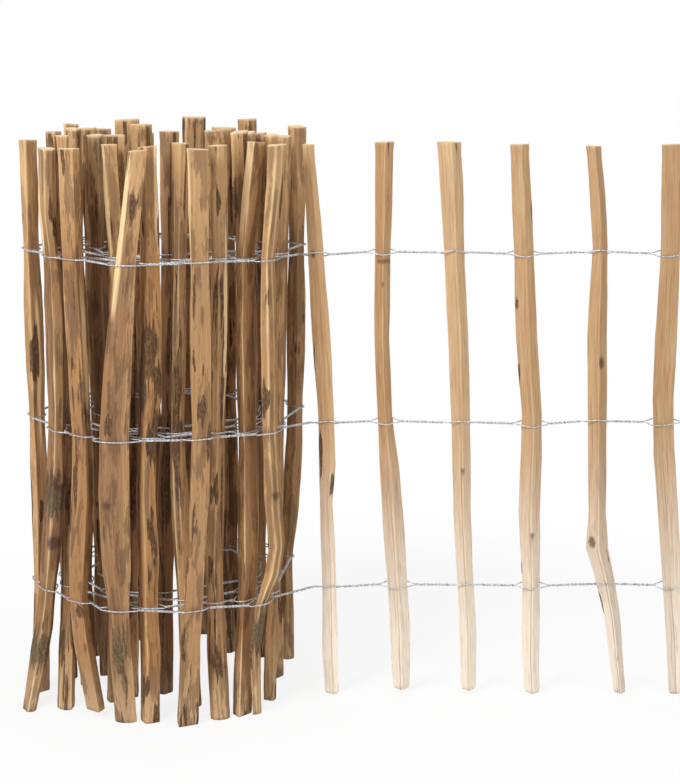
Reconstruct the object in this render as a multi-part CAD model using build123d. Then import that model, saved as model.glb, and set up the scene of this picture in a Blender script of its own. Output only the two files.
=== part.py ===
from build123d import *

import math
import os
from dataclasses import dataclass

# Cleft chestnut paling fence, part rolled up: split pales held side by side by three rows
# of two-strand twisted wire. Millimetres, Z up. The fence leaves the roll along +X, its
# outer face looks along -Y, and the feet stand on Z = 0.

# Driving dimensions
pale_height = 1000.0     # length of an ordinary pale
pale_width = 45.0        # across the cleft face
pale_depth = 27.0        # from cleft face to bark
paling_gap = 80.0        # clear space between two pales
foot_to_wire = 205.0     # bottom row of wire above the ground
top_to_wire = 190.0      # top row of wire below the pale tops
wire_side = 1.7          # a strand is drawn square, with the section of 2 mm wire
wire_clearance = 0.25    # between a strand and the wood or the other strand
eye_length = 12.0        # from a pale's edge to where its two strands meet
tail_length = 34.0       # wire left past the last pale
roll_radius = 253.0      # roll axis to the middle of the outermost rolled pale
roll_start = 51.0        # degrees from the front to that pale
roll_forward = 95.0      # unrolled row stands this far in front of the roll axis
first_gap = 94.0         # along X, from that pale to the first unrolled one
eye_rise = 4.5           # a strand climbs or drops this far as it rounds an unrolled pale
wire_wander = 2.0        # a row of wire strays this far up and down
layer_slack = 1.0        # free space between two layers of the roll
pales_in_roll = 34
twist_quarters = 6       # quarter turns of the pair between two unrolled pales
eye_share = 0.32         # most of a gap that an eye may take up
end_share = 0.03         # of a pale's height: its ends run straight at least this far
open_depth_share = 0.92  # depth of an unrolled pale against a rolled one

paling_pitch = paling_gap + pale_width
strand_offset = 0.6 * wire_side + wire_clearance
twist_radius = 1.1 * wire_side + wire_clearance / 2
strand_lift = wire_side * 0.72  # in the roll one strand runs above the other
strand_span = strand_lift + wire_side / 2
layer_step = pale_depth + 4 * wire_side + 5 * wire_clearance + layer_slack
row_heights = (
    foot_to_wire,
    (foot_to_wire + pale_height - top_to_wire) / 2,
    pale_height - top_to_wire,
)
row_names = ("bottom", "middle", "top")
course_scale = pale_width / 45    # the courses below are written for pales 45 mm wide
height_scale = pale_height / 1000  # and their feet and tops for pales 1000 mm high

# Cross-sections of a split log, seen from above: first number along the row, second
# towards the outer face, both from -1 to 1
sections = {
    "ridge": ((-1, -0.35), (-0.55, -1), (0.5, -1), (1, -0.4), (0.15, 1), (-0.1, 1)),
    "bark": ((-1, 0.2), (0.1, -1), (1, 0.1), (0.7, 0.75), (0.1, 1), (-0.55, 0.85)),
    "plank": ((-1, 1), (-0.7, -0.8), (0.3, -1), (1, -0.2), (0.9, 0.9)),
    "wedge": ((-1, 0.8), (-0.8, -0.6), (0.6, -1), (1, 0.1), (-0.2, 1)),
    "stick": ((-1, 0.1), (0.1, -1), (1, -0.2), (0.1, 1)),
}


@dataclass
class Pale:
    """One split pale: where it stands, which way it faces and how it runs up."""

    x: float
    y: float
    facing: float      # degrees from -Y round towards +X
    radius: float      # 0 for an unrolled pale, else its distance from the roll axis
    width: float
    depth: float
    section: str
    mirrored: bool
    foot: float
    top: float
    slope: float       # rise of the sawn top across the width
    course: tuple      # (share of the height, sideways, outwards, width there)

    def at(self, height):
        """Sideways and outward drift and the share of full section at a height."""
        share = height / pale_height
        rows = self.course
        if share <= rows[0][0]:
            low, high = rows[0], rows[1]
        else:
            low, high = rows[-2], rows[-1]
            for before, after in zip(rows, rows[1:]):
                if before[0] <= share <= after[0]:
                    low, high = before, after
                    break
        mix = (share - low[0]) / (high[0] - low[0])
        mix = max(0.0, mix)
        side, out, width = (a + (b - a) * mix for a, b in zip(low[1:], high[1:]))
        return side, out, width / self.width

    def middle(self, height):
        """Centre of the section at a height, seen from above."""
        side, out, _ = self.at(height)
        if self.radius:
            angle = math.radians(self.facing) + side / self.radius
            reach = self.radius + out
            return reach * math.sin(angle), -reach * math.cos(angle)
        return self.x + side, self.y - out

    def axes(self):
        """Unit vectors along the row and towards the outer face."""
        angle = math.radians(self.facing)
        return (math.cos(angle), math.sin(angle)), (math.sin(angle), -math.cos(angle))

    def corners(self, height):
        """Local corners of the section at a height: along the row, outwards."""
        scale = self.at(height)[2]
        flip = -1 if self.mirrored else 1
        across = self.width / 2 * scale * flip
        deep = self.depth / 2 * scale
        return [(u * across, v * deep) for u, v in sections[self.section]]

    def ring(self, height):
        """The same corners as points in space."""
        cx, cy = self.middle(height)
        (ax, ay), (ox, oy) = self.axes()
        return [
            (cx + u * ax + v * ox, cy + u * ay + v * oy, height)
            for u, v in self.corners(height)
        ]

    def solid(self):
        shares = [row[0] * pale_height for row in self.course]
        straight = end_share * pale_height
        heights = [h for h in shares if self.foot + straight < h < self.top - straight]
        rings = [self.ring(h) for h in [self.foot] + heights]
        rings.append(self.sawn_top(heights[-1]))
        return skin(rings)

    def sawn_top(self, below):
        """Corners of the sloping saw cut that ends the pale."""
        low, high = self.ring(below), self.ring(self.top)
        cx, cy = self.middle(self.top)
        ax, ay = self.axes()[0]
        cut = []
        for a, b in zip(low, high):
            rise = b[2] - a[2]
            drift = [(q - p) / rise for p, q in zip(a, b)]
            across = (a[0] - cx) * ax + (a[1] - cy) * ay
            lean = drift[0] * ax + drift[1] * ay
            climb = (self.top + self.slope * across - a[2]) / (1 - self.slope * lean)
            cut.append(tuple(p + d * climb for p, d in zip(a, drift)))
        return cut


def skin(rings):
    """A closed solid of flat faces through rings with as many corners each."""
    faces = []
    for low, high in zip(rings, rings[1:]):
        for i in range(len(low)):
            j = (i + 1) % len(low)
            faces.append(Face(Wire.make_polygon([low[i], low[j], high[j], high[i]])))
    for end in (rings[0], rings[-1]):
        faces.append(Face(Wire.make_polygon(end)))
    return Solid(Shell(faces))


# Unrolled pales from the free end back to the roll: how far the foot stands from its even
# place, foot, top, section, whether mirrored, width, and the course read up the pale
unrolled = (
    (9, 0, 999, 0.02, "wedge", False, 40, (
        (0, 0, 0, 33), (0.1, -6, 0, 37), (0.21, -17, 0, 40), (0.31, -26, 0, 38),
        (0.45, -40, 0, 41), (0.55, -45, 0, 41), (0.66, -44, 0, 41), (0.82, -41, 0, 39),
        (1, -44, 0, 38))),
    (29, 0, 996, -0.03, "ridge", True, 36, (
        (0, 0, 0, 24), (0.07, -9, 0, 26), (0.145, -18, 0, 31), (0.207, -31, 2, 38),
        (0.274, -49, 4, 42), (0.336, -50, 0, 33), (0.52, -55, 0, 37), (0.66, -59, 0, 36),
        (0.82, -58, 0, 30), (0.91, -65, 0, 28), (1, -75, 0, 26))),
    (-7, 0, 999, 0.03, "ridge", False, 38, (
        (0, 0, 0, 29), (0.07, -4, 0, 33), (0.22, -6, 0, 36), (0.34, -12, 0, 41),
        (0.45, -10, 0, 40), (0.52, -11, 0, 39), (0.66, -23, 0, 39), (0.82, -31, 0, 39),
        (1, -42, 0, 33))),
    (1, 6, 1003, -0.02, "ridge", False, 36, (
        (0, 0, 0, 28), (0.12, -2, 0, 33), (0.22, -9, 0, 33), (0.34, -16, 0, 33),
        (0.52, -21, 0, 37), (0.66, -27, 0, 37), (0.82, -36, 0, 39), (0.93, -42, 0, 42),
        (1, -47, 0, 42))),
    (3, 8, 1003, 0.04, "ridge", True, 36, (
        (0, 0, 0, 31), (0.12, -3, 0, 38), (0.22, -10, 0, 40), (0.34, -18, 0, 39),
        (0.43, -25, 0, 36), (0.52, -33, 0, 30), (0.66, -39, 0, 28), (0.82, -38, 0, 31),
        (1, -36, 0, 33))),
    (0, 0, 999, 0.02, "wedge", True, 30, (
        (0, 0, 0, 26), (0.07, -3, 0, 29), (0.22, -5, 0, 29), (0.36, -10, 0, 24),
        (0.43, -8, 0, 32), (0.52, -10, 0, 31), (0.66, -18, 0, 33), (0.82, -28, 0, 31),
        (1, -40, 0, 20))),
)

# Rolled pales whose run shows from outside, by their place in the roll counted from the
# outermost: section, mirrored, width, course
shown = {
    0: ("bark", False, 42, (
        (0, -56, 0, 20), (0.12, -60, 0, 26), (0.2, -46, 0, 34), (0.25, -20, 0, 46),
        (0.3, -8, 0, 40), (0.39, -17, 0, 43), (0.5, -22, 0, 42), (0.69, -24, 0, 40),
        (0.81, -24, 0, 38), (0.94, -6, 0, 42), (1, -1, 0, 44))),
    1: ("plank", False, 36, (
        (0, -62, 0, 37), (0.15, -55, 0, 37), (0.22, -48, 0, 37), (0.3, -43, 0, 31),
        (0.4, -36, 0, 34), (0.52, -31, 0, 36), (0.81, -29, 0, 35), (1, -30, 0, 36))),
    2: ("bark", True, 52, (
        (0, -46, 0, 39), (0.13, -53, 0, 40), (0.2, -54, 0, 40), (0.27, -57, 0, 52),
        (0.4, -58, 0, 56), (0.52, -55, 0, 56), (0.69, -40, 0, 45), (0.81, -27, 0, 38),
        (1, -2, 0, 30))),
    3: ("plank", True, 38, (
        (0, 19, 0, 31), (0.13, -8, 0, 35), (0.21, -18, 0, 36), (0.39, 0, 0, 38),
        (0.5, 2, 0, 36), (0.69, -4, 0, 36), (0.82, -9, 0, 38), (1, -10, 0, 35))),
    4: ("plank", False, 42, (
        (0, 43, 66, 26), (0.06, 20, 37, 34), (0.13, -4, 12, 40), (0.24, 2, 0, 44),
        (0.32, 25, 0, 42), (0.42, 46, 0, 42), (0.55, 58, 0, 42), (0.69, 62, 0, 44),
        (0.76, 59, 0, 42), (0.81, 53, 0, 38), (0.88, 42, 0, 36), (1, 47, 0, 32))),
    5: ("bark", False, 36, (
        (0, 90, 18, 36), (0.15, 62, 11, 38), (0.34, 40, 8, 38), (0.5, 32, 9, 42),
        (0.66, 28, 9, 44), (0.8, 24, 10, 43), (1, 26, 10, 38))),
    10: ("plank", True, 36, (
        (0, 18, 0, 34), (0.2, 18, 0, 34), (0.29, -1, 2, 34), (0.44, -26, 4, 36),
        (0.65, -35, 6, 38), (0.81, -45, 6, 36), (1, -58, 6, 34))),
    11: ("wedge", False, 36, (
        (0, -100, 0, 32), (0.11, -95, 0, 34), (0.2, -87, 0, 32), (0.33, -76, 0, 34),
        (0.48, -66, 0, 34), (0.67, -58, 0, 34), (0.8, -46, 0, 34), (1, -33, 0, 34))),
    12: ("plank", False, 38, (
        (0, -54, 22, 33), (0.07, -45, 12, 36), (0.16, -32, 0, 34), (0.27, -25, 0, 36),
        (0.49, -24, 0, 34), (0.69, -26, 0, 34), (0.81, -23, 0, 34), (1, 3, 0, 30))),
    13: ("bark", True, 34, (
        (0, 33, 26, 34), (0.12, 34, 8, 35), (0.19, 36, 0, 34), (0.28, 34, 0, 32),
        (0.39, 39, 0, 30), (0.51, 43, 0, 30), (0.69, 48, 0, 30), (0.81, 52, 0, 32),
        (1, 51, 0, 30))),
    14: ("ridge", False, 42, (
        (0, 45, 32, 36), (0.12, 42, 8, 39), (0.2, 38, 0, 40), (0.29, 40, 0, 42),
        (0.4, 38, 0, 36), (0.5, 42, 0, 38), (0.57, 49, 0, 42), (0.69, 52, 0, 42),
        (0.81, 53, 0, 40), (1, 53, 0, 33))),
    15: ("bark", False, 36, (
        (0, 20, 44, 40), (0.09, -16, 16, 39), (0.16, -39, 2, 36), (0.37, -22, 0, 33),
        (0.73, 0, 0, 32), (1, -9, 0, 28))),
    23: ("bark", True, 34, (
        (0, 6, 24, 33), (0.11, 4, 6, 34), (0.2, 0, 0, 33), (0.35, -6, 0, 32),
        (0.51, -11, 0, 28), (0.69, -5, 0, 28), (1, 4, 0, 28))),
    24: ("stick", False, 32, (
        (0, -22, 0, 28), (0.2, -13, 0, 31), (0.56, 6, 0, 32), (0.8, 8, 0, 32),
        (1, -2, 0, 30))),
    31: ("stick", True, 34, (
        (0, -50, 8, 33), (0.2, -46, 0, 33), (0.38, -40, 0, 32), (0.56, -29, 0, 33),
        (1, -23, 0, 33))),
}

# The other rolled pales take their form from these in turn
hidden_sections = ("bark", "stick", "stick", "wedge", "stick")
hidden_widths = (52, 46, 50, 44, 48, 53, 43)
hidden_bends = (4, 3, 6, -3, 8, -5)

# Rolled pales that stand aside from their even place, by their place in the roll
nudges = {16: 14, 17: -16, 19: -35, 26: -36, 28: -10, 30: 26}

# How far each rolled pale stands above the ordinary height, and its foot off the ground
extra_heights = (
    2, 0, -2, -2, -5, 2, 23, 28, 32, 30, 24, 12, 6, 3, 2, 15, 17,
    16, 5, 15, 8, 10, 22, 6, 2, 24, 16, 22, 12, 10, 16, 24, 16, 10,
)
raised_feet = {3: 12, 8: 6, 11: 3, 18: 5, 23: 13, 26: 8, 31: 20, 33: 9}
top_slopes = (0.03, -0.05, 0.08, 0.02, -0.09, 0.05, 0.12, -0.03)


def scaled(course):
    """The course of a pale of the width that is asked for."""
    return tuple(
        (share, side * course_scale, out * course_scale, width * course_scale)
        for share, side, out, width in course)


def unrolled_pales():
    """The six pales of the open row, from the free end to the roll."""
    first = roll_radius * math.sin(math.radians(roll_start)) + first_gap
    pales = []
    for i, (stray, foot, top, slope, section, mirrored, width, course) in enumerate(unrolled):
        place = first + (len(unrolled) - 1 - i) * paling_pitch + stray * course_scale
        pales.append(Pale(
            place, -roll_forward, 0, 0, width * course_scale, pale_depth * open_depth_share,
            section, mirrored, foot * height_scale, top * height_scale, slope,
            scaled(course)))
    return pales


def rolled_pales():
    """The pales of the roll, along a spiral that closes in by one layer a turn."""
    pales = []
    angle, radius = roll_start, roll_radius
    for i in range(pales_in_roll):
        if i in shown:
            section, mirrored, width, course = shown[i]
        else:
            section = hidden_sections[i % len(hidden_sections)]
            mirrored = i % 2 == 1
            width = hidden_widths[i % len(hidden_widths)]
            bend = hidden_bends[i % len(hidden_bends)]
            place = nudges.get(i, 0)
            course = (
                (0, place - bend, 0, width * 0.95), (0.2, place + bend / 2, 0, width * 0.95),
                (0.45, place + bend, 0, width), (0.75, place, 0, width * 0.97),
                (1, place - bend, 0, width * 0.85))
        top = pale_height + extra_heights[i % len(extra_heights)] * height_scale
        pales.append(Pale(
            0, 0, angle, radius, width * course_scale, pale_depth, section, mirrored,
            raised_feet.get(i, 0) * height_scale, top, top_slopes[i % len(top_slopes)],
            scaled(course)))
        step = paling_pitch / radius
        angle -= math.degrees(step)
        radius -= layer_step * step / math.tau
    return pales


def taut_side(corners, start, end, side):
    """Corners that a wire pulled tight along one side of a section bends round."""
    low = side * (twist_radius - 0.7 * strand_offset)
    points = [(start, low)] + sorted(p for p in corners if start < p[0] < end)
    points.append((end, low))
    chain = []
    for p in points:
        while len(chain) > 1:
            (ax, ay), (bx, by) = chain[-2], chain[-1]
            if side * ((bx - ax) * (p[1] - ay) - (by - ay) * (p[0] - ax)) < 0:
                break
            chain.pop()
        chain.append(p)
    return chain


def clear_of(chain, side, offset):
    """The same chain moved off the wood by a strand's half and its clearance."""
    runs = [math.atan2(b[1] - a[1], b[0] - a[0]) for a, b in zip(chain, chain[1:])]
    moved = []
    for point, first, second in zip(chain, runs[:1] + runs, runs + runs[-1:]):
        reach = offset / math.cos((second - first) / 2)
        normal = (first + second) / 2 + side * math.pi / 2
        moved.append((point[0] + reach * math.cos(normal), point[1] + reach * math.sin(normal)))
    return moved


def passing(pale, height, reach_before, reach_after, side):
    """Points of a strand round one pale, from the roll's far side to its near side."""
    cx, cy = pale.middle(height)
    (ax, ay), (ox, oy) = pale.axes()
    corners = [(-u, v) for u, v in pale.corners(height)]
    rings = [pale.ring(height + rise) for rise in (-strand_span, 0, strand_span)]
    lean = max(math.dist(a[:2], b[:2]) for ring in rings for a, b in zip(rings[1], ring))
    low = min(u for u, _ in corners) - reach_before
    high = max(u for u, _ in corners) + reach_after
    points = clear_of(taut_side(corners, low, high, side), side, strand_offset + lean)
    return [(cx - u * ax + v * ox, cy - u * ay + v * oy) for u, v in points]


def pair_ends(pale, height, reach_before, reach_after):
    """Where the twisted pair's own axis meets the two eyes of a pale."""
    cx, cy = pale.middle(height)
    ax, ay = pale.axes()[0]
    across = [-u for u, _ in pale.corners(height)]
    low, high = min(across) - reach_before, max(across) + reach_after
    return (cx - low * ax, cy - low * ay), (cx - high * ax, cy - high * ay)


def eye_reaches(pales, height):
    """Free length before and after each pale that its eyes take up."""
    edges = [pair_ends(p, height, 0, 0) for p in pales]
    gaps = [math.dist(a[1], b[0]) for a, b in zip(edges, edges[1:])]
    eyes = [min(eye_length, gap * eye_share) for gap in gaps]
    return [eye_length] + eyes, eyes + [eye_length]


def row_sag(index):
    """A row of wire wanders a little up and down from pale to pale."""
    return wire_wander * (math.sin(index * 2.1) + math.sin(index * 0.9) / 2)


def strand(pales, row, first_side):
    """One of the two strands of a row, from the free end to the heart of the roll."""
    level = row_heights[row]
    before, after = eye_reaches(pales, level)
    heights = [level + row_sag(i + 3 * row) for i in range(len(pales))]
    open_pales = sum(1 for p in pales if not p.radius)
    points = []
    side = first_side

    def spiral(start, end, z_start, z_end, quarters, side):
        (x0, y0), (x1, y1) = start, end
        length = math.dist(start, end)
        hx, hy = (y1 - y0) / length, -(x1 - x0) / length
        if hy > 0:
            hx, hy = -hx, -hy
        for q in range(1, quarters):
            share = q / quarters
            turn = math.pi / 2 * q
            off = side * twist_radius * math.cos(turn)
            up = side * twist_radius * math.sin(turn)
            points.append((
                x0 + (x1 - x0) * share + hx * off, y0 + (y1 - y0) * share + hy * off,
                z_start + (z_end - z_start) * share + up))

    for i, pale in enumerate(pales):
        z = heights[i]
        start, end = pair_ends(pale, z, before[i], after[i])
        if i == 0:
            tail = (start[0] + tail_length, start[1])
            points.append((tail[0], tail[1] - side * twist_radius, z))
            spiral(tail, start, z, z, 2, side)
            side = -side
        if pale.radius:
            lift = strand_lift * first_side
            around = passing(pale, z, before[i], after[i], side)
            points += [(x, y, z + lift) for x, y in around]
        else:
            lift = eye_rise * first_side
            around = passing(pale, z + lift, before[i], after[i], side)
            points.append((*around[0], z))
            points += [(x, y, z + lift) for x, y in around[1:-1]]
            points.append((*around[-1], z))
        if i + 1 < len(pales):
            near = pair_ends(pales[i + 1], heights[i + 1], before[i + 1], after[i + 1])[0]
            if i + 1 <= open_pales:
                quarters = twist_quarters if i + 1 < open_pales else 2
                spiral(end, near, z, heights[i + 1], quarters, side)
            side = -side
    return points


def wire(points):
    """A square strand mitred at every bend."""
    centre = [Vector(*p) for p in points]
    runs = [(b - a).normalized() for a, b in zip(centre, centre[1:])]
    across = runs[0].cross(Vector(0, 0, 1)).normalized()
    up = across.cross(runs[0])
    half = wire_side / 2
    ring = [centre[0] + across * (a * half) + up * (b * half)
            for a, b in ((1, 1), (-1, 1), (-1, -1), (1, -1))]
    rings = [ring]
    for i, run in enumerate(runs):
        normal = run + runs[i + 1] if i + 1 < len(runs) else run
        goal = centre[i + 1]
        ring = [p + run * ((goal - p).dot(normal) / run.dot(normal)) for p in ring]
        rings.append(ring)
    return skin([[(p.X, p.Y, p.Z) for p in ring] for ring in rings])


def build():
    pales = unrolled_pales() + rolled_pales()
    nodes = {f"pale_{i + 1:02d}": pale.solid() for i, pale in enumerate(pales)}
    for row, name in enumerate(row_names):
        nodes[f"wire_{name}_first"] = wire(strand(pales, row, 1))
        nodes[f"wire_{name}_second"] = wire(strand(pales, row, -1))
    return nodes


def centred(nodes):
    """The nodes moved so that the origin is under the middle of the whole fence."""
    boxes = [solid.bounding_box() for solid in nodes.values()]
    mid_x = (min(b.min.X for b in boxes) + max(b.max.X for b in boxes)) / 2
    mid_y = (min(b.min.Y for b in boxes) + max(b.max.Y for b in boxes)) / 2
    shift = Pos(-mid_x, -mid_y, -min(b.min.Z for b in boxes))
    return {name: shift * solid for name, solid in nodes.items()}


os.makedirs("parts", exist_ok=True)
for name, solid in centred(build()).items():
    export_step(solid, f"parts/{name}.step")
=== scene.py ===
import math

import bpy
import numpy as np
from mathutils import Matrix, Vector


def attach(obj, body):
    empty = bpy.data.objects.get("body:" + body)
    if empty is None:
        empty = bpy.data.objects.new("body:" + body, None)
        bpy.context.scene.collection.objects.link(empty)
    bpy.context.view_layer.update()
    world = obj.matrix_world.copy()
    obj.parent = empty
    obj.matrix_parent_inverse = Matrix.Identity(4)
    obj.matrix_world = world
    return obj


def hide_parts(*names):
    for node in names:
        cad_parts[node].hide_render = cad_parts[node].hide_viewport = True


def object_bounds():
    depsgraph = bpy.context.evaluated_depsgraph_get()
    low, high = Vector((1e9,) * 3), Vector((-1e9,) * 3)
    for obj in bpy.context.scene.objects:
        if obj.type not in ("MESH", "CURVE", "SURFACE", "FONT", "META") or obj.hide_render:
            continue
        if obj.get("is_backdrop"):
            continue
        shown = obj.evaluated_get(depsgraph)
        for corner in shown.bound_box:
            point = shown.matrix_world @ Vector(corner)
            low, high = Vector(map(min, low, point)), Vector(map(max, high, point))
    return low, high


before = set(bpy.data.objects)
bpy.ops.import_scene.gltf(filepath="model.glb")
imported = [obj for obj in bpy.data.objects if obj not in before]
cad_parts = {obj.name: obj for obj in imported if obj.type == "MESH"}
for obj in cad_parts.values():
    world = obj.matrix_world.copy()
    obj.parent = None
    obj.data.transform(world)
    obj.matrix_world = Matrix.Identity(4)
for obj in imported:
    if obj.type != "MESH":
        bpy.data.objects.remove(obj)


def listed(bounds):
    return [[float(n) for n in corner] for corner in bounds]


sizes = {"loaded": listed(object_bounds())}

mm = 0.001
paleCount = 40
openPales = 6                  # pales 1 to 6 stand in the unrolled row
rowNames = ("bottom", "middle", "top")
wireHeights = (205, 507, 810)  # in millimetres, one for each row
rimShares = (0.96, 0.6, 0.25)  # the rings of a sawn end, as shares of its outline


# Points of a CAD node, from which its shape is read back
def nodePoints(name):
    mesh = cadNode(name).data
    points = np.zeros(len(mesh.vertices) * 3)
    mesh.vertices.foreach_get("co", points)
    return points.reshape(-1, 3), mesh


def cadNode(name):
    return bpy.data.objects[name]


# Rings of corners up a pale, foot first, each in the same order round
def corneredRings(name):
    points, _ = nodePoints(name)
    points = np.unique(np.round(points, 6), axis=0)
    levels, counts = np.unique(np.round(points[:, 2], 5), return_counts=True)
    sides = int(counts[0])
    rings = []
    used = np.zeros(len(points), bool)
    for level, count in zip(levels, counts):
        if count == sides and level < levels[0] + 0.97 * (levels[-1] - levels[0]):
            inRing = np.abs(points[:, 2] - level) < 1.5e-5
            rings.append(points[inRing])
            used |= inRing
    rings.append(points[~used])
    ordered = []
    start = None
    for ring in rings:
        middle = ring.mean(0)
        angles = np.arctan2(ring[:, 1] - middle[1], ring[:, 0] - middle[0])
        if start is None:
            start = angles[np.argmin(np.abs(angles - math.pi / 2))]
        turn = np.mod(angles - start + 0.05, math.tau)
        ordered.append(ring[np.argsort(turn)])
    return ordered


# A split pale: rows of points run up it and columns run round it. Lengths and depths are in
# millimetres, colours run from 0 to 255.
wood = {
    "columns": 76,             # points round a pale that shows
    "rows": 150,               # points up a pale that shows
    "hiddenColumns": 60,
    "hiddenRows": 80,
    "barkThickness": 0.6,
    "fibreDepth": 0.7,
    "fibreWidth": 3.2,
    "waveDepth": 1.0,
    "waveWidth": 16.0,
    "swelling": 1.2,           # between the wires the wood stands this much prouder
    "rolledSwelling": 1.8,
    "hiddenSwelling": 3.6,
    "extraSwelling": {11: 1.0, 12: 1.0, 17: 0.8},
    "swellReach": 100.0,       # from a wire to where the wood is at its widest
    "boxMargin": 0.5,          # the swelling stays this far inside the fence's box
    "footRound": 13.0,         # height over which the sawn foot is rounded off
    "footShare": 0.2,          # how much of its width the foot loses there
    "rolledFootShare": 0.06,
    "cornerHighlightWidth": 1.5,         # of the painted highlight along the corners
    "pithWidth": 1.1,          # of the dark line down the front ridge of the open pales
    "wireClearance": 7.0,      # no swelling within this height of a wire
    "rollAxis": (-354.0, 12.0),
    "grainSteps": (190.0, 700.0),  # from one pale's noise to the next, across and along
    "bumpStrength": 0.5,
    "bumpDistance": 0.0008,
    "seed": 11,
    # Marks where the photograph shows them: pale, sideways from its middle as seen from the
    # front, height, half width, half height
    "barkPatches": (
        (11, 2, 392, 27, 62), (11, 12, 860, 8, 36), (11, -2, 92, 25, 48), (9, 4, 902, 9, 38),
        (9, -12, 530, 9, 40), (9, -3, 134, 20, 58), (21, 0, 650, 26, 120),
        (21, -8, 590, 16, 60), (21, -6, 60, 10, 40), (21, 8, 330, 7, 60), (10, 0, 190, 14, 14),
        (10, 6, 560, 9, 70), (8, -5, 640, 3, 38), (8, -16, 288, 9, 34), (8, -10, 152, 8, 48),
        (8, 4, 560, 10, 40), (20, 2, 910, 8, 28), (20, -4, 412, 8, 30), (20, 4, 98, 18, 52),
        (20, -6, 270, 6, 30), (7, -9, 565, 12, 40), (7, 14, 915, 3, 46), (7, 0, 148, 26, 78),
        (12, 0, 610, 12, 60), (12, 4, 330, 6, 30), (6, -15, 622, 4, 60), (6, -12, 440, 4, 72),
        (6, 11, 394, 5, 34), (3, -17, 720, 4, 8), (3, -17, 588, 4, 24), (22, -6, 110, 10, 60),
        (30, 0, 560, 12, 200), (38, 0, 430, 14, 160), (2, -17, 179, 5, 28),
    ),
    "lichenPatches": (
        (11, 2, 368, 24, 36), (11, -2, 92, 23, 38), (9, -3, 132, 18, 48),
        (21, -10, 590, 10, 38), (7, 0, 165, 24, 50),
    ),
    "knots": (
        (11, 6, 297, 15, 17), (9, -12, 393, 9, 10), (21, 13, 283, 4, 13), (8, -2, 352, 6, 6),
        (32, 0, 905, 6, 9), (9, -18, 343, 3, 22), (7, 6, 395, 7, 9), (4, 2, 420, 5, 7),
        (2, -11, 287, 7, 11), (2, 6, 616, 6, 14), (5, 0, 754, 4, 5), (3, 3, 300, 5, 7),
        (9, -12, 566, 4, 6), (6, -6, 808, 5, 8), (5, 2, 797, 16, 6),
    ),
    # Painted highlights on bright edges, in the same columns
    "edgeHighlights": (
        (9, -14, 868, 7, 150), (19, -11, 930, 7, 85), (21, 15, 930, 4, 110),
        (8, -14, 920, 3, 130), (31, -9, 900, 4, 130), (20, 12, 700, 3, 160),
        (11, -14, 880, 4, 60), (12, 9, 600, 3, 140), (10, 13, 640, 3, 120),
    ),
    # Lightness, redness and bark cover of the pales that show, then of all others
    "tones": {
        1: (0.62, 0.35, 0.0), 2: (0.74, 0.35, 0.0), 3: (0.74, 0.35, 0.0), 4: (0.94, 0.3, 0.0),
        5: (0.5, 0.4, 0.0), 6: (0.68, 0.4, 0.04), 7: (0.46, 0.25, 0.12),
        8: (0.32, 0.3, 0.25), 9: (0.2, 0.35, 0.2), 10: (0.26, 0.5, 0.2), 11: (0.36, 0.5, 0.15),
        12: (0.72, 0.5, 0.12), 17: (0.36, 0.2, 0.1), 18: (0.4, 0.3, 0.15),
        19: (0.26, 0.35, 0.15), 20: (0.42, 0.4, 0.2), 21: (0.4, 0.8, 0.3),
        22: (0.3, 0.5, 0.35), 30: (0.28, 0.4, 0.3), 31: (0.4, 0.5, 0.2), 38: (0.2, 0.6, 0.3),
    },
    # Kept dark as painted shade for the pales deep in the roll
    "shadedTone": (0.14, 0.45, 0.32),
    "colors": {
        "cream": (227, 196, 155),
        "fresh": (220, 178, 126),
        "tan": (183, 142, 95),
        "mauve": (128, 92, 62),
        "orange": (182, 124, 66),
        "dark": (88, 58, 36),
        "pith": (154, 112, 72),
        "bark": (70, 48, 31),
        "barkLight": (126, 92, 58),
        "lichen": (122, 122, 96),
        "sawn": (236, 208, 164),
        "bleached": (255, 242, 224),
        "cornerHighlight": (244, 212, 160),
    },
}


# Averages a closed ring of points with their neighbours on both sides
def smoothRound(values, passes):
    for _ in range(passes):
        values = (np.roll(values, 1, axis=1) + 2 * values + np.roll(values, -1, axis=1)) / 4
    return values


# Smooth random values from 0 to 1 on the grid, closed round the pale
def noiseGrid(rng, rows, columns, cellsUp, cellsRound):
    cellsRound = max(3, int(cellsRound))
    cellsUp = max(2, int(cellsUp))
    grid = rng.random((cellsUp + 2, cellsRound))
    up = np.linspace(0, cellsUp, rows)
    about = np.arange(columns) * cellsRound / columns
    i, j = up.astype(int), about.astype(int)
    fu, fr = up - i, about - j
    fu = (fu * fu * (3 - 2 * fu))[:, None]
    fr = (fr * fr * (3 - 2 * fr))[None, :]
    k = (j + 1) % cellsRound
    low = grid[i][:, j] * (1 - fr) + grid[i][:, k] * fr
    high = grid[i + 1][:, j] * (1 - fr) + grid[i + 1][:, k] * fr
    return low * (1 - fu) + high * fu


# How far inside the listed patches each point lies, torn along the grain
def patchField(number, patches, offsets, heights, facing, torn, teeth=0.5):
    field = np.zeros_like(offsets)
    for pale, across, height, halfWidth, halfHeight in patches:
        if pale == number:
            u = (offsets - across) / halfWidth
            v = (heights - height) / halfHeight * (0.6 + 0.8 * teeth)
            inside = 1.5 - np.sqrt(u * u + v * v) - torn * 1.3
            field = np.maximum(field, np.clip(inside * 2.5, 0, 1) * facing)
    return field


# One value, or one vector, for each point of a mesh
def store(mesh, label, values):
    kind, slot = ("FLOAT", "value") if values.ndim == 1 else ("FLOAT_VECTOR", "vector")
    field = mesh.attributes.new(label, kind, "POINT")
    field.data.foreach_set(slot, values.astype(np.float32).reshape(-1))


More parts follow.
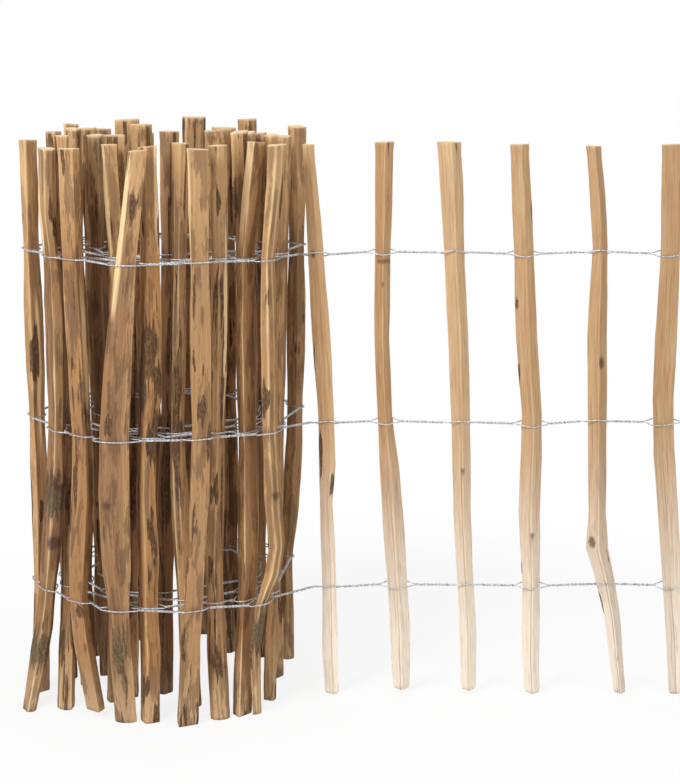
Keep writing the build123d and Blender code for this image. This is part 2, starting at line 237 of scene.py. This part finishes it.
# A split pale as one closed mesh with the values that its finish reads
def paleMesh(number):
    name = f"pale_{number:02d}"
    rings = corneredRings(name)
    shows = number in wood["tones"]
    columns = wood["columns"] if shows else wood["hiddenColumns"]
    rows = wood["rows"] if shows else wood["hiddenRows"]
    rng = np.random.default_rng(wood["seed"] * 100 + number)
    sides = len(rings[0])

    # Points spread evenly round each ring of corners, then up the pale
    edges = np.linalg.norm(np.roll(rings[1], -1, axis=0) - rings[1], axis=1)
    ends = np.concatenate([[0], np.cumsum(edges)])
    along = (np.arange(columns) + 0.5) / columns * ends[-1]
    face = np.clip(np.searchsorted(ends, along, side="right") - 1, 0, sides - 1)
    share = (along - ends[face]) / edges[face]

    walls = np.array([
        ring[face] + (ring[(face + 1) % sides] - ring[face]) * share[:, None] for ring in rings
    ])
    walls = smoothRound(walls, 1)
    levels = np.array([ring[:, 2].mean() for ring in rings])
    upShare = np.linspace(0, 1, rows)
    wanted = levels[0] + (levels[-1] - levels[0]) * upShare
    index = np.clip(np.searchsorted(levels, wanted, side="right") - 1, 0, len(levels) - 2)
    mix = (wanted - levels[index]) / (levels[index + 1] - levels[index])
    soft = mix[:, None, None]
    skin = walls[index] * (1 - soft) + walls[index + 1] * soft

    # Which way is out, level with the floor
    tangent = np.roll(skin, -1, axis=1) - np.roll(skin, 1, axis=1)
    normal = np.stack([tangent[..., 1], -tangent[..., 0], np.zeros_like(tangent[..., 0])], -1)
    normal /= np.linalg.norm(normal, axis=2, keepdims=True) + 1e-12
    middle = skin.mean(axis=1, keepdims=True)
    flip = np.sign(((skin - middle) * normal).sum(axis=2).mean())
    normal *= flip

    isOpen = number <= openPales
    rounding = np.clip(1 - (wanted - wanted[0]) / (wood["footRound"] * mm), 0, 1) ** 2
    rounding *= wood["footShare"] if isOpen else wood["rolledFootShare"]
    skin = middle + (skin - middle) * (1 - rounding)[:, None, None]

    # Bark, lichen and knots
    offsets = (skin[..., 0] - middle[..., 0]) / mm
    heights = skin[..., 2] / mm
    facing = np.clip(-normal[..., 1] * 2.5 + 0.4, 0, 1)
    # Pales not listed take a dark tone that paints the shade inside the roll
    light, red, cover = wood["tones"].get(number, wood["shadedTone"])

    girth = ends[-1] / mm
    torn = 0.55 * noiseGrid(rng, rows, columns, 12, girth / 4.0)
    torn += 0.45 * noiseGrid(rng, rows, columns, 30, girth / 2.4)
    teeth = noiseGrid(rng, rows, columns, 5, girth / 2.6)
    sway = (noiseGrid(rng, rows, columns, 26, 3) - 0.5) * 9
    bark = patchField(number, wood["barkPatches"], offsets + sway, heights, facing, torn, teeth)
    lichen = patchField(number, wood["lichenPatches"], offsets, heights, facing, torn * 0.6)
    knot = patchField(number, wood["knots"], offsets, heights, facing, 0.2 + torn * 0.3)
    loose = 0.6 * noiseGrid(rng, rows, columns, 8, girth / 12) + 0.4 * (1 - torn)
    bark = np.maximum(bark, np.clip((loose - 0.8 + cover * 0.6) * 7.0, 0, 1))

    # Tints of the faces, a painted highlight along the corners and the ridge that was the
    # middle of the trunk
    tint = rng.random(sides)[face][None, :] * np.ones((rows, 1))
    tint = smoothRound(tint, 2)
    corner = np.minimum(share, 1 - share) * edges[face] / mm
    cornerIndex = np.where(share < 0.5, face, (face + 1) % sides)
    # How strong the painted corner highlight is, at random for each corner
    highlightShare = np.clip(rng.random(sides) * 1.5 - (0.6 if isOpen else 0.2), 0.05, 1)[cornerIndex]
    cornerHighlight = (np.exp(-(corner / wood["cornerHighlightWidth"]) ** 2) * highlightShare)[None, :]
    cornerHighlight = cornerHighlight * np.clip(1.7 - 2 * torn, 0, 1)
    place = middle[rows // 2, 0, :2] / mm
    outer = np.array([0.0, -1.0]) if isOpen else place - wood["rollAxis"]
    outer /= np.linalg.norm(outer)
    skinned = np.clip((normal[..., 0] * outer[0] + normal[..., 1] * outer[1] - 0.6) * 6, 0, 1)
    skinned *= 0.3 if isOpen else 1.0
    crest = ends[np.argmax(rings[1][:, :2] @ outer)]
    fromCrest = np.abs((along - crest + ends[-1] / 2) % ends[-1] - ends[-1] / 2) / mm
    pith = np.exp(-(fromCrest / wood["pithWidth"]) ** 2)[None, :]
    pith = pith * np.clip((1300 - heights) / 900, 0, 1)
    pith = pith * isOpen * np.clip(1.6 - 1.4 * torn, 0, 1)
    # Painted highlights on the listed bright edges
    bright = patchField(number, wood["edgeHighlights"], offsets, heights, facing, torn * 0.5)
    cornerHighlight = np.maximum(cornerHighlight * (1 - pith), bright)

    # How deep the relief is and how far the wood swells between the wires
    tips = np.minimum(np.minimum(upShare, 1 - upShare) * rows / 3, 1)[:, None]
    tips = tips * np.ones((1, columns))
    fromWire = np.min([np.abs(heights - level) for level in wireHeights], axis=0)
    swelling = wood["swelling" if isOpen else "rolledSwelling" if shows else "hiddenSwelling"]
    low, high = np.array(sizes["loaded"])[:, :2]
    room = np.minimum(skin[..., :2] - low, high - skin[..., :2]).min(axis=2) / mm
    clear = np.clip((fromWire - wood["wireClearance"]) / wood["swellReach"], 0, 1)
    clear = clear * clear * (3 - 2 * clear)
    swelling += wood["extraSwelling"].get(number, 0.0)
    swell = np.minimum(clear * swelling, np.maximum(room - wood["boxMargin"], 0))

    positions, faces, rimOf = closedEnds(skin, rows, columns)
    fields = {
        "bark": bark, "lichen": lichen, "knot": knot, "tint": tint, "cornerHighlight": cornerHighlight,
        "relief": 0.3 + 0.7 * tips, "height": heights, "skinned": skinned, "pith": pith,
        "swell": swell,
    }
    mesh = bpy.data.meshes.new(name + "_wood")
    mesh.from_pydata(positions.tolist(), [], faces)
    for label, field in fields.items():
        store(mesh, label, np.concatenate([field.reshape(-1), rimOf(field)]))
    count = rows * columns
    sawn = np.zeros(len(positions))
    sawn[count:] = 1
    sawn[:columns] = 0.6
    sawn[count - columns:count] = 0.9
    store(mesh, "sawn", sawn)
    for label, value in (("light", light), ("red", red), ("open", float(isOpen))):
        store(mesh, label, np.full(len(positions), value))

    acrossStep, alongStep = np.array(wood["grainSteps"]) * number
    grain = np.empty_like(positions)
    axis = middle.repeat(columns, 1)
    inner = np.concatenate([axis.reshape(-1, 3), rimOf(axis)])
    grain[:, :2] = (positions - inner)[:, :2] / mm + acrossStep
    grain[:, 2] = positions[:, 2] / mm + alongStep
    store(mesh, "grain", grain)
    outward = np.zeros_like(positions)
    outward[:count] = normal.reshape(-1, 3)
    outward[count:, :2] = rimOf(normal)[:, :2]
    outward[count:] *= np.tile(np.repeat(rimShares, columns), 2)[:, None]
    store(mesh, "outward", outward)
    mesh.update()
    return mesh


# Positions and faces of the wall and its two sawn ends, and what takes a wall's value there
def closedEnds(skin, rows, columns):
    positions = [skin.reshape(-1, 3)]
    faces = []
    for i in range(rows - 1):
        for j in range(columns):
            k = (j + 1) % columns
            a, b = i * columns + j, i * columns + k
            faces.append((a, b, b + columns, a + columns))
    count = rows * columns
    rims = []
    for ring, base, up in ((skin[0], 0, False), (skin[-1], (rows - 1) * columns, True)):
        centre = ring.mean(0)
        outer = base
        for share in rimShares:
            positions.append(centre + (ring - centre) * share)
            rims.append(0 if not up else rows - 1)
            for j in range(columns):
                k = (j + 1) % columns
                quad = (outer + j, outer + k, count + k, count + j)
                faces.append(quad if up else quad[::-1])
            outer = count
            count += columns
        last = list(range(outer, outer + columns))
        faces.append(tuple(last) if up else tuple(last[::-1]))

    def rimOf(field):
        return np.concatenate([field[row] for row in rims])

    return np.concatenate(positions), faces, rimOf


# A strand of wire. Its bends are read from its node, then the pair of a row is twisted.
# Lengths are in millimetres, colours run from 0 to 255.
wire = {
    "diameter": 2.35,
    "eyeReach": 14.0,          # an eye ends within this distance of its pale's edge
    "twistLength": 12.5,       # along the pair, for one full turn
    "pointsPerTurn": 9,
    "sides": 8,
    "twistRoom": 1.03,         # how far the strands of a pair keep apart, in diameters
    "twistEase": 3.2,          # length over which a twist opens into an eye
    "tipTrim": 0.3,            # what the free end gives up so that its cap stays in line
    "eyePoints": 5,            # points on each straight stretch round a pale
    "dullZinc": (164, 166, 170),
    "brightZinc": (228, 230, 234),
}


# Middle of each square ring along a strand, from its free end inwards
def strandCentres(name):
    points, mesh = nodePoints(name)
    keys = {}
    index = []
    for p in np.round(points, 6):
        index.append(keys.setdefault(tuple(p), len(keys)))
    spots = np.array(list(keys))
    near = [set() for _ in spots]
    for edge in mesh.edges:
        a, b = (index[v] for v in edge.vertices)
        if a != b:
            near[a].add(b)
            near[b].add(a)
    ring = set(np.argsort(-spots[:, 0])[:4].tolist())
    seen = set(ring)
    centres = [spots[list(ring)].mean(0)]
    while True:
        ahead = {n for v in ring for n in near[v]} - seen
        if not ahead:
            break
        centres.append(spots[list(ahead)].mean(0))
        seen |= ahead
        ring = ahead
    return np.array(centres)


# Ends of a pale along X at a height
def spanAt(number, height):
    rings = corneredRings(f"pale_{number:02d}")
    levels = [ring[:, 2].mean() for ring in rings]
    corners = [np.interp(height, levels, [ring[i, 0] for ring in rings])
               for i in range(len(rings[0]))]
    return min(corners), max(corners)


# Where the strand starts and its bends round each pale
def strandPasses(name):
    centres = strandCentres(name)
    passes = []
    done = 0
    for number in range(1, openPales + 1):
        low, high = spanAt(number, centres[0][2])
        reach = wire["eyeReach"] * mm
        inside = (centres[:, 0] > low - reach) & (centres[:, 0] < high + reach)
        while not inside[done]:
            done += 1
        start = done
        while inside[done]:
            done += 1
        passes.append(centres[start:done])
    run = [centres[done]]
    for point in centres[done + 1:]:
        if abs(point[2] - run[-1][2]) < 2e-6:
            run.append(point)
            continue
        if len(run) > 2:
            passes.append(np.array(run))
        run = [point]
    if len(run) > 2:
        passes.append(np.array(run))
    tip = centres[0] - np.array([wire["diameter"] * wire["tipTrim"] * mm, 0, 0])
    return tip, passes


# A bent line with more points and its corners softened
def eased(points, count):
    fine = [points[0]]
    for a, b in zip(points, points[1:]):
        for step in range(1, count + 1):
            fine.append(a + (b - a) * step / count)
    fine = np.array(fine)
    fine[1:-1] = (fine[:-2] + 2 * fine[1:-1] + fine[2:]) / 4
    return fine


# Points of both strands from one pair of eye ends to the next, twisted together
def twisted(startA, startB, endA, endB, sign):
    middle0, middle1 = (startA + startB) / 2, (endA + endB) / 2
    axis = middle1 - middle0
    length = np.linalg.norm(axis)
    axis /= length
    arm0, arm1 = startA - middle0, endA - middle1
    arm0 = arm0 - axis * arm0.dot(axis)
    arm1 = arm1 - axis * arm1.dot(axis)
    far0, far1 = np.linalg.norm(arm0), np.linalg.norm(arm1)
    u = arm0 / far0
    v = np.cross(axis, u)
    turn = math.atan2(arm1.dot(v), arm1.dot(u)) * sign
    turns = max(1, round(length / mm / wire["twistLength"]))
    total = sign * (turn % math.tau + math.tau * (turns - 1))
    tight = wire["diameter"] / 2 * mm * wire["twistRoom"]
    count = max(6, int(turns * wire["pointsPerTurn"]))
    share = np.linspace(0, 1, count + 1)[1:-1]
    reach = wire["twistEase"] * mm
    ease0 = np.clip(1 - share * length / reach, 0, 1) ** 2
    ease1 = np.clip(1 - (1 - share) * length / reach, 0, 1) ** 2
    radius = tight + (far0 - tight) * ease0 + (far1 - tight) * ease1
    angle = total * share
    arm = np.cos(angle)[:, None] * u + np.sin(angle)[:, None] * v
    core = middle0 + (middle1 - middle0) * share[:, None]
    return core + arm * radius[:, None], core - arm * radius[:, None]


# Paths of the two strands of a row
def rowPaths(row):
    endA, passesA = strandPasses(f"wire_{row}_first")
    endB, passesB = strandPasses(f"wire_{row}_second")
    pathA, pathB = [endA[None, :]], [endB[None, :]]
    lastA, lastB = endA, endB
    for aroundA, aroundB in zip(passesA, passesB):
        betweenA, betweenB = twisted(lastA, lastB, aroundA[0], aroundB[0], 1)
        pathA += [betweenA, eased(aroundA, wire["eyePoints"])]
        pathB += [betweenB, eased(aroundB, wire["eyePoints"])]
        lastA, lastB = aroundA[-1], aroundB[-1]
    return np.concatenate(pathA), np.concatenate(pathB)


# Linear colour from the usual 0 to 255 values
def srgb(red, green, blue):
    def linear(c):
        c /= 255
        return c / 12.92 if c <= 0.04045 else ((c + 0.055) / 1.055) ** 2.4
    return (linear(red), linear(green), linear(blue), 1.0)


# An output socket that takes part in sums
class Value:
    def __init__(self, tree, socket):
        self.tree, self.socket = tree, socket

    def maths(self, operation, *others, clamp=False):
        node = self.tree.add("ShaderNodeMath", {"operation": operation, "use_clamp": clamp},
                             dict(enumerate((self,) + others)))
        return node.out(0)

    def __add__(self, other):
        return self.maths("ADD", other)

    def __sub__(self, other):
        return self.maths("SUBTRACT", other)

    def __mul__(self, other):
        return self.maths("MULTIPLY", other)

    def __truediv__(self, other):
        return self.maths("DIVIDE", other)

    def clamped(self):
        return self.maths("ADD", 0.0, clamp=True)

    # 0 below low, 1 above high, smooth between
    def ramp(self, low, high):
        node = self.tree.add("ShaderNodeMapRange", {"interpolation_type": "SMOOTHSTEP"},
                             {"Value": self, "From Min": low, "From Max": high})
        return node.out("Result")


# A node that was just added, with its outputs by name or number
class Made:
    def __init__(self, tree, node):
        self.tree, self.node = tree, node

    def out(self, name=0):
        return Value(self.tree, self.node.outputs[name])


# A node tree with one method that adds any node: settings first, then inputs
class Tree:
    def __init__(self, nodeTree):
        self.nodes, self.links = nodeTree.nodes, nodeTree.links

    def add(self, kind, settings=None, inputs=None):
        node = self.nodes.new(kind)
        for key, value in (settings or {}).items():
            setattr(node, key, value)
        for key, value in (inputs or {}).items():
            socket = node.inputs[key]
            if isinstance(value, Value):
                self.links.new(value.socket, socket)
            else:
                socket.default_value = value
        return Made(self, node)

    def named(self, name, kind="FLOAT"):
        return self.add("GeometryNodeInputNamedAttribute", {"data_type": kind},
                        {"Name": name}).out("Attribute")

    def field(self, name, output="Fac"):
        return self.add("ShaderNodeAttribute", {"attribute_name": name}).out(output)

    def mixed(self, factor, first, second, blend="MIX"):
        node = self.add("ShaderNodeMix", {"data_type": "RGBA", "blend_type": blend},
                        {0: factor, 6: first, 7: second})
        return node.out(2)

    def scaled(self, vector, amounts):
        node = self.add("ShaderNodeVectorMath", {"operation": "MULTIPLY"},
                        {0: vector, 1: amounts})
        return node.out("Vector")

    def noise(self, vector, amounts, detail=3.0, roughness=0.55):
        node = self.add("ShaderNodeTexNoise", {}, {
            "Vector": self.scaled(vector, amounts), "Scale": 1.0, "Detail": detail,
            "Roughness": roughness})
        return node.out(0)


# Cleft wood: greyer and stained in the roll, pale and drawn in the open row
def woodMaterial():
    material = bpy.data.materials.new("cleftWood")
    material.use_nodes = True
    material.node_tree.nodes.clear()
    tree = Tree(material.node_tree)
    grain = tree.field("grain", "Vector")
    light, red = tree.field("light"), tree.field("red")
    paint = {label: srgb(*color) for label, color in wood["colors"].items()}
    unrolled = tree.field("open")
    rolled = unrolled * -1.0 + 1.0
    streak = tree.noise(grain, (0.42, 0.42, 0.012), 5.0, 0.6)
    fine = tree.noise(grain, (2.4, 2.4, 0.05), 3.0)
    broad = tree.noise(grain, (0.06, 0.06, 0.008), 2.0)
    stain = tree.noise(grain, (0.05, 0.05, 0.011), 3.0)
    fleck = tree.noise(grain, (0.3, 0.3, 0.05), 4.0, 0.6)
    thread = tree.noise(grain, (0.95, 0.95, 0.018), 4.0, 0.6)
    ragged = tree.noise(grain, (0.5, 0.5, 0.06), 5.0, 0.65)
    weathered = light * -0.8 + 1.0
    cleft = tree.field("skinned") * -1.0 + 1.0
    color = tree.mixed((light * 2.0).clamped(), paint["mauve"], paint["tan"])
    color = tree.mixed((light * 2.0 - 1.0).clamped(), color, paint["cream"])
    color = tree.mixed(cleft * 0.4 * unrolled, color, paint["cream"])
    color = tree.mixed(cleft * 0.4 * rolled, color, paint["fresh"])
    color = tree.mixed(red * broad.ramp(0.3, 0.55) * 0.9, color, paint["orange"])
    low = tree.field("height").ramp(560.0, 60.0) * unrolled
    color = tree.mixed(low, color, paint["bleached"])
    face = tree.field("tint")
    color = tree.mixed(face.ramp(0.45, 0.8) * weathered * 0.55, color, paint["mauve"])
    color = tree.mixed(face.ramp(0.35, 0.1) * rolled * 0.22, color, paint["fresh"])
    tips = tree.field("height").ramp(780.0, 960.0) * rolled
    color = tree.mixed(tips * 0.5, color, paint["fresh"])
    foot = tree.field("height").ramp(130.0, 10.0) * rolled
    color = tree.mixed(foot * 0.4, color, paint["cream"])
    stained = (stain + (ragged - 0.5) * 0.3).ramp(0.5, 0.56)
    color = tree.mixed(stained * weathered * rolled * 0.68, color, paint["dark"])
    lines = (cleft * 0.35 + 0.25) * weathered
    color = tree.mixed(streak.ramp(0.5, 0.72) * lines, color, paint["dark"], "MULTIPLY")
    color = tree.mixed(streak.ramp(0.48, 0.3) * 0.25, color, paint["fresh"])
    color = tree.mixed(fine.ramp(0.5, 0.8) * lines * 0.5, color, paint["dark"], "MULTIPLY")
    color = tree.mixed(fleck.ramp(0.61, 0.66) * weathered * rolled * 0.6, color, paint["dark"])
    drawn = (streak.ramp(0.48, 0.68) + thread.ramp(0.5, 0.72)) * unrolled
    color = tree.mixed(drawn * (low * -0.5 + 1.0) * 0.38, color, paint["pith"])
    # Painted highlight along the corners and on the bright edges, in a light cream
    color = tree.mixed(tree.field("cornerHighlight") * 0.9, color, paint["cornerHighlight"])
    color = tree.mixed(tree.field("pith") * 0.8, color, paint["pith"])

    # Bark with lichen, knots and the sawn ends
    edge = tree.field("bark") + (ragged - 0.5) * 0.9
    barked = edge.ramp(0.4, 0.62)
    mottle = tree.noise(grain, (0.35, 0.35, 0.12), 4.0)
    bark = tree.mixed(mottle.ramp(0.42, 0.7), paint["bark"], paint["barkLight"])
    crust = tree.noise(grain, (0.9, 0.9, 0.45), 4.0, 0.6)
    grown = tree.field("lichen") * crust.ramp(0.48, 0.6)
    bark = tree.mixed(grown * 0.75, bark, paint["lichen"])
    color = tree.mixed(barked * 0.9, color, bark)

    knot = tree.field("knot")
    color = tree.mixed(knot.ramp(0.1, 0.6) * 0.45, color, paint["dark"])
    color = tree.mixed(knot.ramp(0.75, 1.0) * 0.6, color, paint["bark"])
    cut = tree.field("sawn").ramp(0.5, 1.0)
    rings = tree.noise(grain, (0.5, 0.12, 0.0), 2.0)
    endGrain = tree.mixed(rings.ramp(0.4, 0.7) * 0.4, paint["sawn"], paint["tan"])
    color = tree.mixed(cut, color, endGrain)

    height = fine * 0.5 + streak + mottle * barked * 1.5
    bump = tree.add("ShaderNodeBump", {}, {
        "Height": height, "Strength": wood["bumpStrength"], "Distance": wood["bumpDistance"]})
    surface = tree.add("ShaderNodeBsdfPrincipled", {}, {
        "Base Color": color, "Roughness": barked * 0.15 + 0.72, "Normal": bump.out(0)})
    tree.add("ShaderNodeOutputMaterial", {}, {"Surface": surface.out(0)})
    return material


# Galvanised wire with a faint spangle
def wireMaterial():
    material = bpy.data.materials.new("galvanised")
    material.use_nodes = True
    material.node_tree.nodes.clear()
    tree = Tree(material.node_tree)
    place = tree.add("ShaderNodeTexCoord").out("Object")
    spangle = tree.noise(place, (260.0, 260.0, 260.0), 2.0)
    color = tree.mixed(spangle.ramp(0.35, 0.7), srgb(*wire["dullZinc"]),
                       srgb(*wire["brightZinc"]))
    surface = tree.add("ShaderNodeBsdfPrincipled", {}, {
        "Base Color": color, "Metallic": 0.4, "Roughness": spangle * 0.25 + 0.3})
    tree.add("ShaderNodeOutputMaterial", {}, {"Surface": surface.out(0)})
    return material


# A geometry tree with named inputs that is run on a plain mesh
class Recipe:
    def __init__(self, name, given, made, inputs):
        self.group = bpy.data.node_groups.new(name, "GeometryNodeTree")
        sockets = self.group.interface
        sockets.new_socket(given, in_out="INPUT", socket_type="NodeSocketGeometry")
        self.values = {}
        for label, value in inputs.items():
            kind = "NodeSocketInt" if isinstance(value, int) else "NodeSocketFloat"
            socket = sockets.new_socket(label, in_out="INPUT", socket_type=kind)
            self.values[socket.identifier] = value
        sockets.new_socket(made, in_out="OUTPUT", socket_type="NodeSocketGeometry")
        self.made = made
        self.tree = Tree(self.group)
        self.given = self.tree.add("NodeGroupInput")

    def close(self, geometry, material):
        real = self.tree.add("GeometryNodeRealizeInstances", {}, {"Geometry": geometry})
        painted = self.tree.add("GeometryNodeSetMaterial", {}, {
            "Geometry": real.out(0), "Material": material})
        self.tree.add("NodeGroupOutput", {}, {self.made: painted.out(0)})

    # The mesh that the tree makes of this one
    def run(self, mesh):
        carrier = bpy.data.objects.new("carrier", mesh)
        bpy.context.scene.collection.objects.link(carrier)
        modifier = carrier.modifiers.new("recipe", "NODES")
        modifier.node_group = self.group
        for identifier, value in self.values.items():
            modifier[identifier] = value
        made = carrier.evaluated_get(bpy.context.evaluated_depsgraph_get())
        plain = bpy.data.meshes.new_from_object(made)
        bpy.data.objects.remove(carrier)
        return plain


# Round wire along the edges of a bare line
def wireRecipe(material):
    recipe = Recipe("roundWire", "Line", "Wire", {
        "Diameter": wire["diameter"] * mm, "Sides": wire["sides"]})
    tree, given = recipe.tree, recipe.given
    curve = tree.add("GeometryNodeMeshToCurve", {}, {"Mesh": given.out("Line")})
    radius = given.out("Diameter") * 0.5
    profile = tree.add("GeometryNodeCurvePrimitiveCircle", {}, {
        "Resolution": given.out("Sides"), "Radius": radius})
    tube = tree.add("GeometryNodeCurveToMesh", {}, {
        "Curve": curve.out(0), "Profile Curve": profile.out(0), "Fill Caps": True})
    smooth = tree.add("GeometryNodeSetShadeSmooth", {}, {"Geometry": tube.out(0)})
    recipe.close(smooth.out(0), material)
    return recipe


# Split fibres, waves and raised bark, all cut inwards from the bare faces
def woodRecipe(material):
    recipe = Recipe("splitWood", "Pale", "Wood", {
        "Fibre Depth": wood["fibreDepth"] * mm, "Fibre Width": wood["fibreWidth"],
        "Wave Depth": wood["waveDepth"] * mm, "Wave Width": wood["waveWidth"],
        "Bark Thickness": wood["barkThickness"] * mm})
    tree, given = recipe.tree, recipe.given
    grain = tree.named("grain", "FLOAT_VECTOR")

    # The grain's own coordinates, counted in widths across and long widths along
    def along(width, stretch):
        parts = tree.add("ShaderNodeSeparateXYZ", {}, {0: grain})
        scale = given.out(width)
        joined = tree.add("ShaderNodeCombineXYZ", {}, {
            "X": parts.out("X") / scale, "Y": parts.out("Y") / scale,
            "Z": parts.out("Z") / (scale * stretch)})
        return joined.out(0)

    fibre = tree.noise(along("Fibre Width", 24.0), (1.0, 1.0, 1.0), 4.0, 0.6).ramp(0.3, 0.75)
    wave = tree.noise(along("Wave Width", 9.0), (1.0, 1.0, 1.0), 2.0).ramp(0.3, 0.7)
    chip = tree.noise(along("Fibre Width", 4.0), (0.6, 0.6, 0.6), 3.0)
    covered = (tree.named("bark") * 2.0 - chip * 0.5).clamped()
    knot = tree.named("knot")
    hollow = (knot * 2.0 - 1.0).clamped() * 1.6 - knot * 0.5
    depth = fibre * given.out("Fibre Depth") + wave * given.out("Wave Depth")
    depth = depth + (covered * -1.0 + 1.0) * given.out("Bark Thickness")
    depth = depth + (hollow + tree.named("pith") * 1.3) * given.out("Bark Thickness")
    depth = depth.maths("MAXIMUM", 0.0) * tree.named("relief") - tree.named("swell") * mm
    inward = tree.add("ShaderNodeVectorMath", {"operation": "SCALE"}, {
        0: tree.named("outward", "FLOAT_VECTOR"), "Scale": depth * -1.0})
    moved = tree.add("GeometryNodeSetPosition", {}, {
        "Geometry": given.out("Pale"), "Offset": inward.out(0)})
    smooth = tree.add("GeometryNodeSetShadeSmooth", {}, {"Geometry": moved.out(0)})
    recipe.close(smooth.out(0), material)
    return recipe


# A finished piece in place of its CAD node
def shown(name, mesh, node):
    piece = bpy.data.objects.new(name, mesh)
    bpy.context.scene.collection.objects.link(piece)
    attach(piece, "root")
    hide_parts(node)
    return piece


def makePales(material):
    recipe = woodRecipe(material)
    total = 0
    for number in range(1, paleCount + 1):
        mesh = recipe.run(paleMesh(number))
        total += len(mesh.polygons)
        shown(f"cleftPale{number:02d}", mesh, f"pale_{number:02d}")
    print("scene: pales", paleCount, "faces", total)


def makeWires(material):
    recipe = wireRecipe(material)
    total = 0
    for row in rowNames:
        for which, path in zip(("first", "second"), rowPaths(row)):
            line = bpy.data.meshes.new("wireLine")
            line.from_pydata(path.tolist(), [(i, i + 1) for i in range(len(path) - 1)], [])
            mesh = recipe.run(line)
            total += len(mesh.polygons)
            shown(f"strand_{row}_{which}", mesh, f"wire_{row}_{which}")
    print("scene: wires", len(rowNames) * 2, "faces", total)


# Camera, floor and lights. Places and sizes are in metres, powers in watts.
studio = {
    "camera": (-0.048, -3.250, 1.185),
    "downTilt": 11.13,
    "lens": 83.4,
    "sensor": 36.0,            # along the picture's long side
    "floorSize": 30.0,
    "floorTone": (0.92, 0.92, 0.92, 1.0),
    "shadowReach": (0.6, 1.3),  # the floor fades to plain white between these distances
    "whiteShare": 0.84,        # how far it is plain white already under the fence
    "worldLight": 0.26,
    # For each lamp its place, what it points at, its size and its power
    "lamps": {
        "key": ((-2.2, -2.6, 2.6), (-0.1, 0, 0.5), 1.6, 104.0),
        "fill": ((2.6, -2.4, 1.6), (0, 0, 0.5), 2.2, 40.0),
        "top": ((0.0, 0.6, 3.2), (0, 0, 0.4), 2.5, 40.0),
    },
}
white = (1.0, 1.0, 1.0, 1.0)


def makeFloor():
    half = studio["floorSize"] / 2
    mesh = bpy.data.meshes.new("floor")
    corners = [(-half, -half, 0), (half, -half, 0), (half, half, 0), (-half, half, 0)]
    mesh.from_pydata(corners, [], [(0, 1, 2, 3)])
    floor = bpy.data.objects.new("floor", mesh)
    bpy.context.scene.collection.objects.link(floor)
    material = bpy.data.materials.new("whiteFloor")
    material.use_nodes = True
    material.node_tree.nodes.clear()
    tree = Tree(material.node_tree)
    lit = tree.add("ShaderNodeBsdfPrincipled", {}, {
        "Base Color": studio["floorTone"], "Roughness": 0.9})
    plain = tree.add("ShaderNodeEmission", {}, {"Color": white})
    place = tree.add("ShaderNodeTexCoord").out("Object")
    away = tree.add("ShaderNodeVectorMath", {"operation": "LENGTH"}, {0: place}).out("Value")
    seen = tree.add("ShaderNodeLightPath").out("Is Camera Ray")
    nearby = studio["whiteShare"]
    faded = away.ramp(*studio["shadowReach"]) * (1 - nearby) + nearby
    both = tree.add("ShaderNodeMixShader", {}, {
        0: faded * seen, 1: lit.out(0), 2: plain.out(0)})
    tree.add("ShaderNodeOutputMaterial", {}, {"Surface": both.out(0)})
    mesh.materials.append(material)
    floor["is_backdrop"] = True


def areaLight(name, place, target, size, power):
    data = bpy.data.lights.new(name, "AREA")
    data.size = size
    data.energy = power
    lamp = bpy.data.objects.new(name, data)
    lamp.location = place
    lamp.rotation_euler = (Vector(target) - Vector(place)).to_track_quat("-Z", "Y").to_euler()
    bpy.context.scene.collection.objects.link(lamp)


def makeLights():
    for name, (place, target, size, power) in studio["lamps"].items():
        areaLight(name, place, target, size, power)
    world = bpy.data.worlds.new("studioWorld")
    bpy.context.scene.world = world
    world.use_nodes = True
    world.node_tree.nodes.clear()
    tree = Tree(world.node_tree)
    seen = tree.add("ShaderNodeLightPath").out("Is Camera Ray")
    lit = tree.add("ShaderNodeBackground", {}, {
        "Color": white, "Strength": studio["worldLight"]})
    plain = tree.add("ShaderNodeBackground", {}, {"Color": white, "Strength": 1.0})
    both = tree.add("ShaderNodeMixShader", {}, {0: seen, 1: lit.out(0), 2: plain.out(0)})
    tree.add("ShaderNodeOutputWorld", {}, {"Surface": both.out(0)})


def makeCamera():
    data = bpy.data.cameras.new("camera")
    data.sensor_width = studio["sensor"]
    data.lens = studio["lens"]
    camera = bpy.data.objects.new("camera", data)
    camera.location = studio["camera"]
    camera.rotation_euler = (math.radians(90 - studio["downTilt"]), 0, 0)
    bpy.context.scene.collection.objects.link(camera)
    bpy.context.scene.camera = camera


makePales(woodMaterial())
makeWires(wireMaterial())
makeFloor()
makeLights()
makeCamera()
bpy.context.scene.view_settings.view_transform = "Standard"
print("scene: floor, lights and camera")
sizes["finished"] = listed(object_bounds())
print("scene: sizes", sizes)
